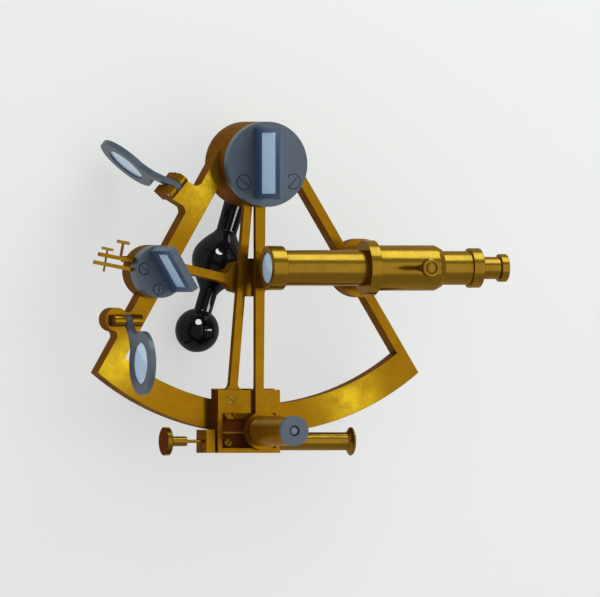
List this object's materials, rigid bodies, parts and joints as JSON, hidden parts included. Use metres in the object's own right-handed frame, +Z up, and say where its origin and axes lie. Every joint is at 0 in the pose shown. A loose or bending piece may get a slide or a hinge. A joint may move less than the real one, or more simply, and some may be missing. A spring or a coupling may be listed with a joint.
{
  "type": "marine sextant",
  "caption": "Brass marine sextant with an A-shaped index arm, two mirrors, telescope, reading microscope, swinging shades and a turned black handle.",
  "frame": {"origin": "on the floor under the pivot of the index arm, in the middle of the apex leg's foot", "axes": "+X towards the eyepiece, +Y from the arc towards the pivot, +Z up out of the face"},
  "size_m": [0.3166, 0.2505, 0.1648],
  "materials": {
    "brass": "aged satin brass",
    "steel": "satin",
    "blued_metal": "blue-gray satin",
    "glass": "clear",
    "mirror": "silvered",
    "ebony": "polished black"
  },
  "bodies": {
    "frame": {"frame": "brass", "bearing_housing": "brass", "handle_bracket": "brass", "handle": "ebony", "handle_pillar": "brass", "handle_screw": "brass", "apex_leg": "brass", "arc_legs": "brass", "upper_shade_pin": "steel", "lower_shade_pin": "steel", "fixed_tongue": "brass"},
    "index_arm": {"index_arm": "brass", "spindle": "steel", "spindle_nut": "brass", "vernier_box": "brass", "vernier_plate": "steel", "box_screws": "brass", "index_base": "blued_metal", "index_mirror_frame": "blued_metal", "index_mirror": "mirror", "index_back_plate": "blued_metal", "index_screws": "blued_metal", "spring_barrel": "brass", "barrel_cap": "brass", "counter_spring": "steel"},
    "clamp": {"clamp_block": "brass"},
    "clamp_screw": {"clamp_screw": "brass"},
    "tangent_screw": {"tangent_screw": "brass", "tangent_knob": "brass"},
    "lens_arm": {"lens_arm": "brass", "microscope_tube": "brass", "microscope_lens": "glass", "eye_disc": "blued_metal"},
    "telescope": {"telescope_ring": "brass", "main_tube": "brass", "objective_cell": "brass", "objective_lens": "glass", "rear_tube": "brass"},
    "draw_tube": {"draw_tube": "brass", "eyepiece": "brass", "eye_lens": "glass", "eye_cap": "brass"},
    "focus_screw": {"focus_screw": "brass"},
    "raising_nut": {"raising_nut": "brass"},
    "upper_shade": {"upper_shade_ring": "blued_metal", "upper_shade_glass": "glass"},
    "lower_shade": {"lower_shade_ring": "blued_metal", "lower_shade_glass": "glass"},
    "horizon_mirror": {"horizon_base": "blued_metal", "horizon_frame": "blued_metal", "horizon_glass": "glass", "horizon_screws": "blued_metal", "adjuster_tongue": "brass"},
    "adjuster_screw": {"adjuster_screw": "brass"},
    "locking_screw": {"locking_screw": "brass"}
  },
  "joints": [
    {"name": "index_swing", "type": "hinge", "parent": "frame", "child": "index_arm", "pos_m": [0, 0, 0.076], "axis": [0, 0, 1], "range_deg": [-21.5, 28]},
    {"name": "lens_swing", "type": "hinge", "parent": "index_arm", "child": "lens_arm", "pos_m": [0, 0, 0.085], "axis": [0, 0, 1], "range_deg": [-7, 2]},
    {"name": "clamp_creep", "type": "hinge", "parent": "index_arm", "child": "clamp", "pos_m": [0, 0, 0.076], "axis": [0, 0, 1], "range_deg": [-0.25, 0.25]},
    {"name": "clamp_turn", "type": "hinge", "parent": "clamp", "child": "clamp_screw", "pos_m": [-0.014, -0.1995, 0.056], "axis": [0, 0, 1], "range_deg": [-180, 180]},
    {"name": "tangent_turn", "type": "hinge", "parent": "clamp", "child": "tangent_screw", "pos_m": [-0.05, -0.2078, 0.082], "axis": [1, 0, 0], "range_deg": [-650, 650]},
    {"name": "telescope_rise", "type": "slide", "parent": "frame", "child": "telescope", "axis": [0, 0, 1], "range_m": [-0.002, 0.006]},
    {"name": "raise_turn", "type": "hinge", "parent": "telescope", "child": "raising_nut", "pos_m": [0.0733, -0.0778, 0.048], "axis": [0, 0, 1], "range_deg": [-361, 1081]},
    {"name": "draw_slide", "type": "slide", "parent": "telescope", "child": "draw_tube", "axis": [1, 0, 0], "range_m": [-0.016, 0.006]},
    {"name": "focus_turn", "type": "hinge", "parent": "telescope", "child": "focus_screw", "pos_m": [0.1075, -0.0778, 0.116], "axis": [0, 0, 1], "range_deg": [-180, 180]},
    {"name": "upper_shade_swing", "type": "hinge", "parent": "frame", "child": "upper_shade", "pos_m": [-0.06781, -0.01631, 0.082], "axis": [-0.6561, -0.7547, 0], "range_deg": [-194, 8]},
    {"name": "lower_shade_swing", "type": "hinge", "parent": "frame", "child": "lower_shade", "pos_m": [-0.106, -0.11723, 0.081], "axis": [1, 0, 0], "range_deg": [-92, 10]},
    {"name": "horizon_adjust", "type": "hinge", "parent": "frame", "child": "horizon_mirror", "pos_m": [-0.08281, -0.08046, 0.076], "axis": [0, 0, 1], "range_deg": [-1.19, 1.19]},
    {"name": "adjuster_turn", "type": "hinge", "parent": "frame", "child": "adjuster_screw", "pos_m": [-0.12411, -0.07281, 0.0821], "axis": [-0.1822, -0.9833, 0], "range_deg": [-570, 570]},
    {"name": "locking_turn", "type": "hinge", "parent": "frame", "child": "locking_screw", "pos_m": [-0.1129, -0.07489, 0.0821], "axis": [-0.1822, -0.9833, 0], "range_deg": [-90, 90]}
  ],
  "couplings": [
    {"joint": "clamp_creep", "follows": "tangent_turn", "ratio": 0.000383},
    {"joint": "raise_turn", "follows": "telescope_rise", "rad_per_m": 3141.6},
    {"joint": "adjuster_turn", "follows": "horizon_adjust", "ratio": 476.2}
  ]
}
